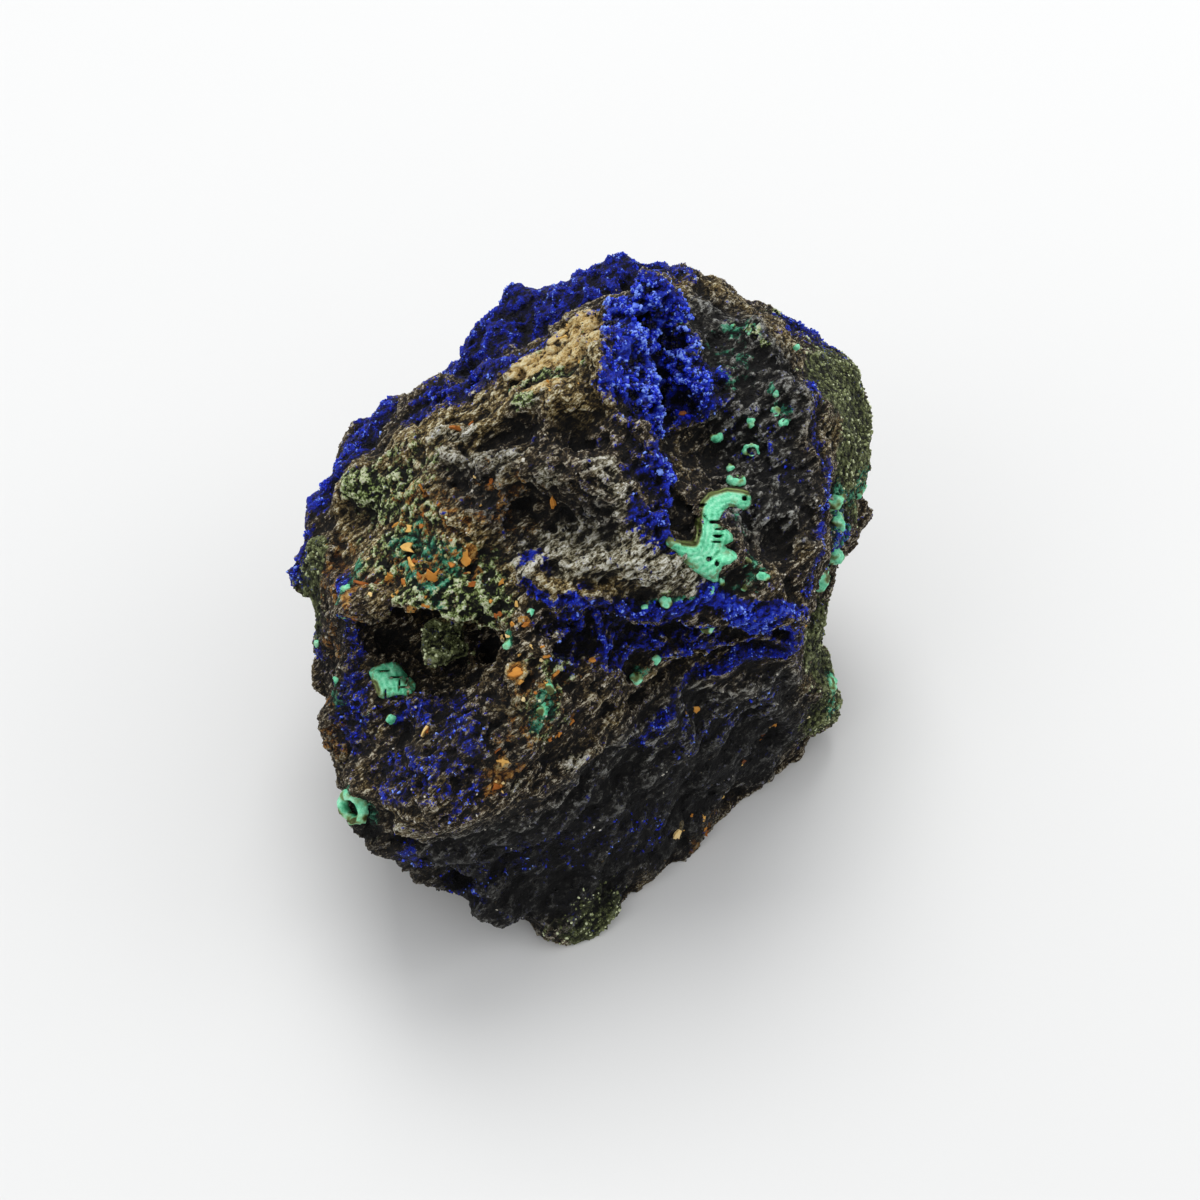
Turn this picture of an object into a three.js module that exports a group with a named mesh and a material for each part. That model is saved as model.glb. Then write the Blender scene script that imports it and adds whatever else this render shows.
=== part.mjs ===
// A hand-sized azurite specimen: one rough lump of brown, iron-stained matrix, crusted with blue azurite
// and green malachite. It grew as a single stone, so it is a single closed solid.
//
// Millimetres, +Z up. The stone stands on its flat broken foot, and the origin is on that foot, under the
// middle of the stone. -Y is the front, with the deep undercut face, and +X is the side with the olive breaks.

import * as THREE from "three";
import { ConvexHull } from "three/addons/math/ConvexHull.js";
import { ImprovedNoise } from "three/addons/math/ImprovedNoise.js";

// Driving dimensions.
const heart = new THREE.Vector3(1, -8, 36); // every corner is seen from here
const longestEdge = 4.8; // facets are split until no edge is longer
const footFade = 8; // height over which the roughness grows from nothing at the foot
const roughness = [
  { wave: 17, height: 1.7 }, // lumps
  { wave: 7.5, height: 1.1 }, // knobs
  { wave: 3.6, height: 0.5 }, // grit
];

// The corners of the stone, feature by feature, as [x, y, z].
const corners = {
  crest: [
    [9, 16, 86], [2, 16, 84], [-7, 14, 80], [-17, 14, 74],
    [-26, 14, 68], [-33, 12, 62], [-39, 3, 57], [-45, -5, 50],
  ],
  backCrust: [[2, 38, 75], [-6, 40, 70], [-15, 38, 66], [-21, 31, 66], [-28, 25, 59]],
  gapBehindCrest: [[3, 28, 75], [-8, 28, 70], [-20, 22, 66]],
  leftCrust: [[-38, 25, 52], [-43, 21, 48], [-47, 15, 44], [-49, 6, 42], [-49, -5, 41]],
  rightShoulder: [[10, 40, 72], [18, 36, 74], [26, 31, 72], [32, 27, 70], [37, 25, 67]],
  shoulderTop: [
    [19, 19, 77], [27, 14, 75], [23, 7, 71], [32, 7, 71], [29, -5, 67],
    [37, 1, 64], [32, -13, 60], [39, -6, 57], [34, -16, 52],
  ],
  oliveBreak: [[49, 33, 54], [49, 34, 46], [48, 22, 49], [46, 15, 41]],
  tealLedge: [[49, 14, 36], [46, 14, 31], [44, 7, 36], [43, 3, 33], [41, -1, 31]],
  rightHeel: [[37, -4, 34], [41, 3, 24], [42, -1, 19], [44, -6, 13], [44, -7, 7], [36, -16, 26]],
  brownFace: [
    [3, -2, 83], [-5, -2, 79], [0, -12, 77], [-19, 0, 73], [-11, -7, 73], [7, -20, 73],
    [-19, -14, 66], [-29, -7, 65], [-23, -21, 62], [-34, -13, 59],
  ],
  shelf: [[-11, -16, 65], [1, -19, 69], [9, -22, 67]],
  blueValley: [
    [15, 13, 79], [8, -8, 79], [12, -14, 75], [17, 7, 75], [12, 4, 73],
    [15, -20, 71], [18, -2, 66], [19, -13, 66], [18, -23, 66], [26, -19, 62],
  ],
  upperRim: [
    [-8, -21, 62], [-5, -25, 61], [2, -25, 60], [11, -26, 59],
    [16, -24, 59], [22, -25, 56], [32, -22, 50],
  ],
  lowerRim: [[32, -21, 42], [23, -22, 40], [15, -25, 38], [7, -31, 36]],
  undercut: [
    [34, -16, 18], [25, -22, 20], [14, -29, 18], [4, -37, 18], [-7, -43, 20], [-18, -47, 20],
  ],
  cavityRoof: [[-38, -18, 52], [-29, -25, 55], [-21, -26, 56]],
  cavity: [[-25, -26, 47], [-19, -30, 49]],
  frontLobe: [[-13, -31, 56], [-5, -31, 58], [-9, -37, 52], [-17, -43, 49], [-24, -46, 46], [-33, -37, 42]],
  frontLip: [
    [-37, -39, 36], [-33, -44, 34], [-28, -49, 34], [-22, -51, 35],
    [-14, -46, 38], [-5, -39, 42], [0, -32, 47], [5, -27, 50],
  ],
  leftSide: [
    [-48, -8, 42], [-41, -24, 44], [-46, -18, 38], [-43, -29, 36], [-40, -38, 33],
    [-38, -42, 28], [-36, -44, 21], [-31, -47, 15], [-25, -47, 14],
  ],
  frontToes: [[-15, -51, 8], [-10, -48, 7]],
  back: [
    [31, 46, 56], [7, 50, 56], [-17, 42, 50], [37, 40, 36], [13, 48, 34], [-15, 44, 32],
    [45, 24, 28], [-37, 28, 28], [-46, 4, 22], [-44, -16, 18], [-39, -34, 14], [39, 12, 12],
  ],
  foot: [
    [-5, -50, 0], [12, -37, 0], [23, -26, 0], [38, -12, 0], [37, 8, 0], [31, 24, 0], [13, 34, 0],
    [-11, 32, 0], [-29, 18, 0], [-36, -2, 0], [-34, -22, 0], [-25, -38, 0], [1, -8, 0],
  ],
};

// Joins the corners into triangles. Seen from the heart each corner lies in its own direction, so the hull
// of those directions says which corners are neighbours, on the bumps and in the hollows alike.
function joinCorners() {
  const points = Object.values(corners).flat().map((corner) => new THREE.Vector3(...corner));
  const cornerAt = new Map(points.map((point) => [point.clone().sub(heart).normalize(), point]));
  const hull = new ConvexHull().setFromPoints([...cornerAt.keys()]);
  return hull.faces.map(({ edge }) =>
    [edge.prev, edge, edge.next].map((side) => cornerAt.get(side.head().point)),
  );
}

// Halves the longest edge of a triangle, again and again, until its edges are all short. Two triangles that
// share an edge halve it at the same point, so the surface stays closed.
function splitLong(triangle) {
  const lengths = triangle.map((point, i) => point.distanceTo(triangle[(i + 1) % 3]));
  const longest = Math.max(...lengths);
  if (longest <= longestEdge) return [triangle];
  const i = lengths.indexOf(longest);
  const [from, to, apex] = [triangle[i], triangle[(i + 1) % 3], triangle[(i + 2) % 3]];
  const middle = from.clone().add(to).multiplyScalar(0.5);
  return [...splitLong([from, middle, apex]), ...splitLong([middle, to, apex])];
}

// Pushes a point in or out from the heart by layers of noise. The foot stays flat.
const noise = new ImprovedNoise();
function roughen(point) {
  const push = roughness.reduce(
    (sum, { wave, height }) => sum + height * noise.noise(point.x / wave, point.y / wave, point.z / wave),
    0,
  );
  const outward = point.clone().sub(heart).normalize();
  return point.clone().addScaledVector(outward, push * THREE.MathUtils.smoothstep(point.z, 0, footFade));
}

function stoneGeometry() {
  const points = joinCorners().flatMap(splitLong).flat().map(roughen);
  const geometry = new THREE.BufferGeometry().setFromPoints(points);
  geometry.computeBoundingBox();
  const middle = geometry.boundingBox.getCenter(new THREE.Vector3());
  geometry.translate(-middle.x, -middle.y, 0); // the origin is under the middle of the stone
  geometry.computeVertexNormals();
  return geometry;
}

const stone = new THREE.Mesh(
  stoneGeometry(),
  new THREE.MeshStandardMaterial({ color: 0x3a322b, roughness: 0.85, metalness: 0, flatShading: true }),
);
stone.name = "azurite_specimen";

const specimen = new THREE.Group();
specimen.add(stone);

export default specimen;
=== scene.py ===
import math

import bpy
import numpy as np
from mathutils import Matrix, Vector, noise
from mathutils.bvhtree import BVHTree
from mathutils.kdtree import KDTree


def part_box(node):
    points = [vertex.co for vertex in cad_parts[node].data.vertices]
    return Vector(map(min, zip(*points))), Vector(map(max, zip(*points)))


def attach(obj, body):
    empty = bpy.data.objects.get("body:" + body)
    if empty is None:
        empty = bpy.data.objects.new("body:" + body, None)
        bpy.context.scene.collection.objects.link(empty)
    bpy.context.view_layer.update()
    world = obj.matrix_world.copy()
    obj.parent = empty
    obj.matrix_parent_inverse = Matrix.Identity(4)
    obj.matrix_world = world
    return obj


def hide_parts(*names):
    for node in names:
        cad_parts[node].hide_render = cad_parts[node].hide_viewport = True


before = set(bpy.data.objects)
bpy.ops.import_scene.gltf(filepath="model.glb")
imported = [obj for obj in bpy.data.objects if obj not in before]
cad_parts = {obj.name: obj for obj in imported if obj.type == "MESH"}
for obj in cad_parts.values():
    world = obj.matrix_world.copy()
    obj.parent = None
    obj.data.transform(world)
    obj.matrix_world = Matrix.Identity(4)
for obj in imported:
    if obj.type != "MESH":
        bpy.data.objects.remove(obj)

mm = 0.001
noise.seed_set(7)  # without it noise_vector starts from the clock, and no two runs agree
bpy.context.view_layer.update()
lowCorner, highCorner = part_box("azurite_specimen")
middle = (lowCorner + highCorner) / 2

# The bedding of the rock: long streaks run along the first axis, and thin layers stack along the last.
streak = Vector((0.80, 0.35, 0.47)).normalized()
layer = Vector((-0.50, -0.10, 0.86))
layer = (layer - streak * layer.dot(streak)).normalized()
across = layer.cross(streak)

view = {
    "elevation": 50,  # degrees above the horizon
    "distance": 275,
    "lens": 50,
    "aim": (1.4, -7.5, -3.2),  # from the middle of the stone
}

studio = {
    "world": (0.97, 0.98, 1.0),
    "worldStrength": 0.72,
    "floor": (0.68, 0.68, 0.672),
    "floorSize": 3000,
    "lamps": [
        # name, place, size, watts
        ("topLamp", (-80, 1000, 1760), 1150, 18.5),
        ("leftLamp", (-650, -450, 650), 500, 0.8),
        ("rightLamp", (800, 60, 520), 500, 0.9),
    ],
}


def deselectAll():
    for thing in bpy.context.selected_objects:
        thing.select_set(False)


def activate(piece):
    deselectAll()
    piece.select_set(True)
    bpy.context.view_layer.objects.active = piece


def applyModifier(piece, kind, **settings):
    activate(piece)
    modifier = piece.modifiers.new(kind.title(), kind)
    for key, value in settings.items():
        setattr(modifier, key, value)
    bpy.ops.object.modifier_apply(modifier=modifier.name)


def discard(piece):
    bpy.data.objects.remove(piece, do_unlink=True)


def readAll(items, key, width=1, kind=float):
    # One value of every item, in rows when it has several numbers.
    flat = np.empty(len(items) * width, kind)
    items.foreach_get(key, flat)
    return flat.reshape(-1, width) if width > 1 else flat


def pointsOf(piece):
    return readAll(piece.data.vertices, "co", 3) / mm


def setPoints(piece, points):
    piece.data.vertices.foreach_set("co", (points * mm).ravel())
    piece.data.update()


def keepAbove(piece, height):
    points = pointsOf(piece)
    points[:, 2] = np.maximum(points[:, 2], height)
    setPoints(piece, points)


def normalsOf(piece):
    return readAll(piece.data.vertex_normals, "vector", 3)


def trianglesOf(piece):
    piece.data.calc_loop_triangles()
    return readAll(piece.data.loop_triangles, "vertices", 3, int)


def smoothStep(values, low, high):
    t = np.clip((values - low) / (high - low), 0, 1)
    return t * t * (3 - 2 * t)


def noiseAt(points, wave, shift=0.0):
    return np.array([noise.noise(Vector(p)) for p in points / wave + shift])


def wander(points, wave, reach):
    return points + reach * np.array([noise.noise_vector(Vector(p)) for p in points / wave])


def brush(points, strokes, soft=(0.3, 1.5)):
    # How strongly the strokes cover each point.
    weight = np.zeros(len(points))
    for path, radius, strength in strokes:
        path = np.array(path, float)
        path = path if len(path) > 1 else np.repeat(path, 2, axis=0)
        gap = np.full(len(points), 1e9)
        for start, end in zip(path[:-1], path[1:]):
            along = end - start
            t = np.clip((points - start) @ along / max(along @ along, 1e-9), 0, 1)
            gap = np.minimum(gap, np.linalg.norm(points - start - t[:, None] * along, axis=1))
        weight = np.maximum(weight, strength * (1 - smoothStep(gap / radius, *soft)))
    return weight


def storeOn(piece, name, values):
    attribute = piece.data.attributes.get(name) or piece.data.attributes.new(name, "FLOAT", "POINT")
    attribute.data.foreach_set("value", values.astype(np.float32))


def placeCamera():
    tilt = math.radians(view["elevation"])
    aim = middle + Vector(view["aim"]) * mm
    back = Vector((0, -math.cos(tilt), math.sin(tilt)))
    bpy.ops.object.camera_add(
        location=aim + back * view["distance"] * mm, rotation=(math.pi / 2 - tilt, 0, 0)
    )
    camera = bpy.context.object
    camera.data.lens = view["lens"]
    camera.data.clip_start = 10 * mm
    bpy.context.scene.camera = camera


placeCamera()
print("camera placed")


class Shade:
    # A socket that takes part in sums, so that shader maths reads as maths.
    def __init__(self, finish, socket):
        self.finish = finish
        self.socket = socket

    def math(self, operation, *others, clamp=False):
        settings = {"operation": operation, "use_clamp": clamp}
        return self.finish.node("ShaderNodeMath", settings, {i: v for i, v in enumerate([self, *others])})

    def __add__(self, other): return self.math("ADD", other)
    def __radd__(self, other): return self.math("ADD", other)
    def __sub__(self, other): return self.math("SUBTRACT", other)
    def __mul__(self, other): return self.math("MULTIPLY", other)
    def __rmul__(self, other): return self.math("MULTIPLY", other)
    def __rsub__(self, other): return (self * -1).math("ADD", other)

    def clamp(self):
        return self.math("ADD", 0.0, clamp=True)

    def step(self, low, high):
        return self.finish.node(
            "ShaderNodeMapRange",
            {"interpolation_type": "SMOOTHSTEP"},
            {"Value": self, "From Min": low, "From Max": high},
        )


class Finish:
    def __init__(self, name):
        self.material = bpy.data.materials.new(name)
        self.material.use_nodes = True
        self.tree = self.material.node_tree
        self.shader = self.tree.nodes["Principled BSDF"]

    def node(self, kind, settings=None, inputs=None, output=0):
        made = self.tree.nodes.new(kind)
        for key, value in (settings or {}).items():
            setattr(made, key, value)
        for key, value in (inputs or {}).items():
            self.feed(made.inputs[key], value)
        return Shade(self, made.outputs[output])

    def feed(self, socket, value):
        if isinstance(value, Shade):
            self.tree.links.new(value.socket, socket)
        elif isinstance(value, (tuple, list)) and len(value) == 3 and socket.type == "RGBA":
            socket.default_value = (*value, 1)
        else:
            socket.default_value = value

    def set(self, **values):
        for key, value in values.items():
            self.feed(self.shader.inputs[key.replace("_", " ")], value)
        return self

    def places(self):
        # Object coordinates in millimetres.
        spot = self.node("ShaderNodeTexCoord", output=3)
        return self.node("ShaderNodeVectorMath", {"operation": "SCALE"}, {0: spot, "Scale": 1 / mm})

    def beddedPlaces(self, spot, stretch):
        axes = [
            self.node("ShaderNodeVectorMath", {"operation": "DOT_PRODUCT"}, {0: spot, 1: tuple(axis / size)}, 1)
            for axis, size in zip((streak, across, layer), stretch)
        ]
        return self.node("ShaderNodeCombineXYZ", None, dict(enumerate(axes)))

    def noise(self, spot, wave, detail=3, roughness=0.6, distortion=0):
        return self.node(
            "ShaderNodeTexNoise",
            None,
            {"Vector": spot, "Scale": 1 / wave, "Detail": detail, "Roughness": roughness, "Distortion": distortion},
        )

    def painted(self, name):
        return self.node("ShaderNodeAttribute", {"attribute_name": name}, output=2)

    def blend(self, mask, under, over):
        return self.node("ShaderNodeMix", {"data_type": "RGBA"}, {0: mask, 6: under, 7: over}, 2)

    def ramp(self, value, stops):
        # The stops are places from 0 to 1, with colours as mixed on a screen.
        made = self.node("ShaderNodeValToRGB", None, {0: value})
        band = made.socket.node.color_ramp
        while len(band.elements) < len(stops):
            band.elements.new(0.5)
        for element, (place, colour) in zip(band.elements, stops):
            element.position = place
            element.color = (*tint(*colour), 1)
        return made

    def bump(self, height, depth, strength=1.0):
        return self.node(
            "ShaderNodeBump", None, {"Strength": strength, "Distance": depth * mm, "Height": height}
        )


def tint(red, green, blue):
    # A colour as mixed on a screen, from 0 to 255.
    return tuple(
        (c / 255 / 12.92) if c / 255 <= 0.04045 else ((c / 255 + 0.055) / 1.055) ** 2.4
        for c in (red, green, blue)
    )


# Strokes on the stone: a path in millimetres from the middle of its foot, the radius, and the strength.
paint = {
    "azurite": [
        ([(5, 36, 75), (-6, 35, 71), (-15, 32, 68), (-23, 28, 64)], 9, 1.0),
        ([(0, 42, 68), (-12, 42, 62), (-24, 36, 54)], 9, 0.9),
        ([(-37, 22, 54), (-41, 16, 52), (-45, 8, 48)], 6, 1.0),
        ([(-47, 4, 45), (-48, -2, 44)], 5, 0.62),
        ([(-28, 13, 66), (-18, 14, 73), (-8, 16, 79), (2, 16, 84)], 5.5, 0.74),
        ([(4, 11, 83), (8, 13, 84), (14, 13, 79)], 6, 1.25),
        ([(5, 4, 81), (11, 4, 75), (16, 7, 75)], 6, 1.25),
        ([(11, -1, 76), (13, -4, 73)], 4, 1.1),
        ([(12, -4, 74), (11, -10, 75), (14, -14, 72)], 6.0, 0.72),
        ([(13, -12, 73), (13, -18, 71)], 5, 0.62),
        ([(6, -5, 79), (7, -12, 76)], 3.0, 0.40),
        ([(8, -19, 72), (13, -20, 70)], 3.6, 0.75),
        ([(-9, -19, 62), (-5, -24, 61), (2, -24.5, 59.5), (11, -25.5, 58), (16, -24, 58)], 2.3, 1.0),
        ([(16, -23, 59), (22, -24, 57), (32, -20, 50)], 2.6, 0.92),
        ([(-3, -27, 55), (6, -26, 52), (15, -25, 50), (25, -23, 48), (32, -20, 46)], 5.5, 0.60),
        ([(33, -19, 45), (31, -20, 42), (23, -21, 41), (16, -24, 39), (12, -27, 36), (8, -31, 32)], 1.8, 0.8),
        ([(-30, -33, 44), (-24, -34, 48), (-20, -40, 49)], 6, 0.50),
        ([(-31, -42, 40), (-24, -45, 46), (-20, -47, 43)], 6, 0.46),
        ([(-38, -20, 50), (-37, -27, 44), (-38, -34, 37)], 4, 0.54), ([(-41, -8, 53), (-39, -14, 52)], 2.6, 0.75),
        ([(-46, -13, 38), (-44, -22, 38)], 4, 0.4),
        ([(-30, -48, 27), (-21, -47, 14)], 4, 0.55),
        ([(-15, -45, 20), (0, -37, 18), (8, -34, 12)], 8, 0.36), ([(14, -28, 30), (28, -21, 26)], 8, 0.32),
        ([(17, 9, 76), (24, 2, 69), (29, -3, 68)], 6, 0.33),
        ([(36, 12, 70), (38, 2, 65), (36, -8, 60), (34, -16, 54)], 2.6, 0.62),
        ([(42, 2, 50), (41, -1, 42), (38, -4, 39)], 4.5, 0.6),
    ],
    "green": [
        ([(-38, 0, 58), (-32, -4, 61)], 6, 1.0),
        ([(-38, -6, 55), (-36, -12, 55)], 3.5, 0.5),
        ([(-31, -13, 60), (-23, -21, 60), (-17, -22, 59)], 7, 0.84), ([(-30, -3, 64), (-25, -12, 64)], 6, 0.46),
        ([(-36, 4, 60), (-30, 2, 64), (-24, -4, 67)], 5, 0.45),
        ([(-4, -30, 55), (-8, -36, 50), (-4, -40, 46)], 4, 0.45),
        ([(0, -29, 55), (-3, -32, 54), (-7, -37, 50)], 2, 0.8),
        ([(13, 17, 82), (15, 14, 80), (18, 11, 77)], 1.6, 0.75),
        ([(22, 22, 75), (28, 18, 74)], 1.6, 0.6),
        ([(-2, 4.5, 81.5), (-6, 6, 79), (-9, 5.5, 77.5), (-12, 4, 76)], 1.5, 1.1),
        ([(-3, 12, 81), (-8, 11, 79)], 2.0, 0.62), ([(-14, 2, 75), (-9, 0, 77)], 2.2, 0.7),
        ([(7, -24, 61), (13, -24, 61)], 1.6, 0.6),
        ([(41, 1, 53), (43, 2, 46), (40, -3, 39)], 3, 0.62),
        ([(46, 12, 47)], 2.5, 0.7),
        ([(42, -9, 20), (43, -9, 12)], 3, 0.4),
    ],
    "tan": [
        ([(-4, 16, 81), (-1, 9, 82)], 4.6, 1.1),
        ([(-1, 7, 82), (-6, 9, 79), (-10, 9, 77)], 3.2, 1.1),
        ([(-7, 2.5, 78)], 2.8, 1.3),
        ([(-11, 5, 76), (-13, 2, 75)], 1.6, 0.9),
        ([(-11, -33, 54)], 2.6, 0.6),
        ([(-30, -16, 60), (-24, -20, 61)], 4, 0.5),
        ([(-28, -36, 45)], 1.8, 0.8),
    ],
    "orange": [
        ([(-36, -17, 54), (-36, -20, 52)], 2.8, 0.9),
        ([(-33, -15, 57), (-27, -17, 61), (-20, -18, 62)], 3.5, 0.45),
        ([(-30, -6, 63), (-24, -11, 65), (-12, -14, 69)], 7, 0.36),
        ([(-42, -6, 52), (-40, -14, 50)], 5, 0.42), ([(-44, -11, 47), (-42, -22, 40), (-40, -32, 34)], 4.5, 0.42),
        ([(-10, -36, 50), (-6, -34, 52), (-15, -44, 42)], 5, 0.36),
        ([(-14, -44, 43), (-10, -43, 42)], 2, 0.6),
        ([(18, -30, 2), (26, -23, 4)], 2.2, 0.4),
    ],
    "teal": [
        ([(-12, 6, 76), (-13, 3, 75)], 1.4, 1.0),
        ([(42, 3, 53), (41, 1, 47), (40, -3, 40)], 4.0, 0.85),
        ([(45, 12, 47), (44, 8, 50)], 3.0, 0.75),
        ([(43, -8, 20), (43, -9, 12)], 2.4, 0.62),
        ([(8, -25, 59), (13, -24, 60)], 2.2, 0.62),
        ([(-6, -35, 52), (-8, -38, 49)], 1.8, 0.8),
        ([(-38, -13, 54), (-39, -20, 50)], 2.4, 0.72), ([(-29, -13, 62), (-24, -19, 61)], 5, 0.62),
        ([(-46, -16, 39), (-41, -26, 41), (-34, -35, 42)], 2.2, 0.5),
        ([(-37, -42, 33), (-35, -43, 29)], 2.4, 0.66),
        ([(18, 14, 78), (24, 20, 75), (22, 10, 74)], 4, 0.42),
        ([(21, -21, 60), (26, -20, 61), (24, -12, 65)], 3, 0.45),
        ([(-40, -42, 26), (-38, -44, 18)], 2.2, 0.5),
    ],
    "vivid": [
        ([(4, 12, 83), (10, 12, 82), (14, 11, 78)], 6.5, 1.0),
        ([(5, 4, 81), (11, 4, 75), (13, -4, 73)], 5.5, 1.0),
        ([(16, -23, 59), (22, -24, 57), (32, -20, 50)], 3.0, 0.9),
        ([(-9, -19, 62), (-5, -24, 61), (2, -24, 60)], 3.0, 0.9),
        ([(-30, -33, 45), (-24, -38, 48)], 6, 0.35),
    ],
    "olive": [
        ([(40, 19, 62), (45, 30, 57), (47, 22, 50), (44, 14, 53)], 8, 1.0),
        ([(43, 8, 57), (45, 10, 47)], 5, 1.0),
        ([(40, -6, 31), (43, -7, 20), (42, -9, 12)], 7, 1.0),
        ([(1, -44, 4), (-2, -47, 2)], 4.6, 1.0),
        ([(-22.6, -25, 51)], 5.2, 1.3),
        ([(-46, -4, 49), (-47, -9, 44), (-46, -12, 41)], 3.4, 1.0),
    ],
    "dark": [
        ([(-18, -46, 24), (-6, -42, 24), (6, -34, 26), (16, -27, 28), (28, -21, 26)], 13, 0.85),
        ([(-15, -47, 10), (0, -38, 12), (16, -30, 12), (30, -18, 12)], 11, 0.85),
        ([(20, 22, 75), (28, 12, 74), (26, 0, 69), (28, -8, 65)], 10, 0.8),
        ([(-20, -8, 71), (-14, -12, 69), (-6, -16, 69), (2, -18, 69)], 3.5, 0.6),
    ],
    "buff": [
        ([(-30, 6, 66), (-18, 7, 73), (-8, 8, 78), (-2, 2, 80)], 7, 1.0),
        ([(-6, -20, 64), (8, -23, 66)], 5, 0.8),
        ([(-37, -3, 58), (-30, -10, 61), (-18, -20, 60)], 9, 1.0),
        ([(20, 30, 73), (28, 20, 73)], 8, 0.35),
        ([(-10, -34, 53), (-8, -40, 47)], 5, 0.2),
    ],
    # Painted shade: the strokes under the overhang paint its shade near black, and the smaller ones darken the top
    # face, the left side and the lobe.
    "soot": [
        ([(-18, -47, 22), (-6, -43, 20), (6, -36, 18), (16, -29, 18), (30, -19, 14)], 10, 0.9),
        ([(-38, -41, 26), (-32, -47, 20), (-22, -48, 12)], 7, 0.85),
        ([(-12, -46, 10), (4, -39, 9), (18, -28, 8)], 8, 0.95), ([(1, -45, 4), (-2, -47, 2)], 4.5, 0.42),
        ([(-20, -8, 71), (-12, -12, 70), (-4, -15, 70)], 6, 0.42),
        ([(-44, -12, 44), (-42, -24, 40), (-39, -34, 34)], 6, 0.34),
        ([(-28, -38, 44), (-22, -41, 46), (-14, -41, 45), (-10, -36, 48)], 6, 0.36),
        ([(-33, -22, 50), (-29, -24, 50)], 4, 0.5),
    ],
    # Pale strokes: a pale fibrous patch, and along the ridges and the lip a painted highlight on their crests.
    "pale": [
        ([(1, -13, 77), (5, -17, 75), (3, -18, 72)], 3.4, 0.55),
        ([(-8, -18, 64), (0, -20, 67), (7, -21, 67), (13, -22, 64)], 4.6, 0.9),
        ([(-27, 2, 68), (-20, 1, 72), (-14, 1, 75), (-8, 0, 77)], 1.8, 0.8),
        ([(-23, -3, 70), (-17, -5, 71), (-11, -9, 72), (-4, -12, 73)], 2.2, 0.7),
        ([(-13, -30, 56), (-12, -35, 53), (-12, -40, 50)], 3, 0.25),
        ([(-28, -48, 35), (-23, -50, 36), (-16, -47, 38), (-5, -40, 38), (0, -36, 39)], 1.8, 0.6),
    ],
}

flecks = {
    # place, length, and tone from tan (0) to rust (1)
    "places": [
        ((-21, 2, 72), 1.9, 0.75), ((-19.5, 3, 72.5), 1.2, 0.8), ((-7, -15, 69), 1.7, 0.6), ((-29, -15, 61), 2.6, 0.3),
        ((-28, -17, 60), 2.2, 0.35), ((-24, -20, 61), 2.3, 0.6), ((-21, -19, 62), 1.5, 0.7), ((-19, -18, 62), 2.3, 0.5),
        ((-18, -21, 60), 1.4, 0.8), ((-35, -17, 55), 2.8, 0.85), ((-36, -20, 52), 2.4, 0.8), ((-32, -17, 57), 2.0, 0.5),
        ((-27, -23, 57), 1.6, 0.5), ((-10, -27, 58), 1.7, 0.7), ((-11, -33, 54), 2.0, 0.6), ((-10, -35, 53), 1.6, 0.45),
        ((-5, -33, 53), 1.5, 0.65), ((-26, -37, 46), 1.3, 0.8), ((-27, -37, 45), 1.4, 0.2), ((-14, -45, 41), 2.0, 0.8),
        ((-13, -43, 45), 2.4, 0.35), ((-3, -36, 45), 1.3, 0.7), ((-1, -30, 54), 1.4, 0.6), ((-27, -12, 63), 1.5, 0.7),
        ((15, -32, 6), 2.0, 0.15), ((20, -29, 2.6), 1.2, 0.85), ((18, -25, 33), 1.2, 0.5), ((35, -12, 37), 1.6, 0.35),
        ((9, 30, 75), 1.7, 0.6), ((14, 5, 72), 1.6, 0.9), ((-26, -7, 66), 1.5, 0.6), ((-23, -10, 66), 1.2, 0.7),
        ((-15, -9, 69), 1.3, 0.8), ((-32, -8, 60), 1.4, 0.5), ((-30, -20, 58), 1.6, 0.4), ((-25, -24, 58), 1.3, 0.6),
    ],
    "strewn": 80,  # small ones, sown near these strokes
    "near": [
        ([(-33, -14, 58), (-20, -20, 61), (-10, -30, 55)], 6, 1.0), ([(-24, -8, 67), (-12, -14, 68)], 5, 0.35),
        ([(-4, 14, 80), (-4, 4, 80)], 4, 0.7),
        ([(-14, -44, 43), (-6, -38, 47)], 4, 0.6),
        ([(18, -28, 4), (34, -16, 14)], 6, 0.25),
    ],
    "corners": 9,
    "thickness": 0.26,
    "colours": [
        (0.0, (228, 214, 172)), (0.25, (214, 178, 106)), (0.55, (196, 138, 60)),
        (0.8, (158, 94, 36)), (1.0, (96, 54, 26)),
    ],
}

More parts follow.
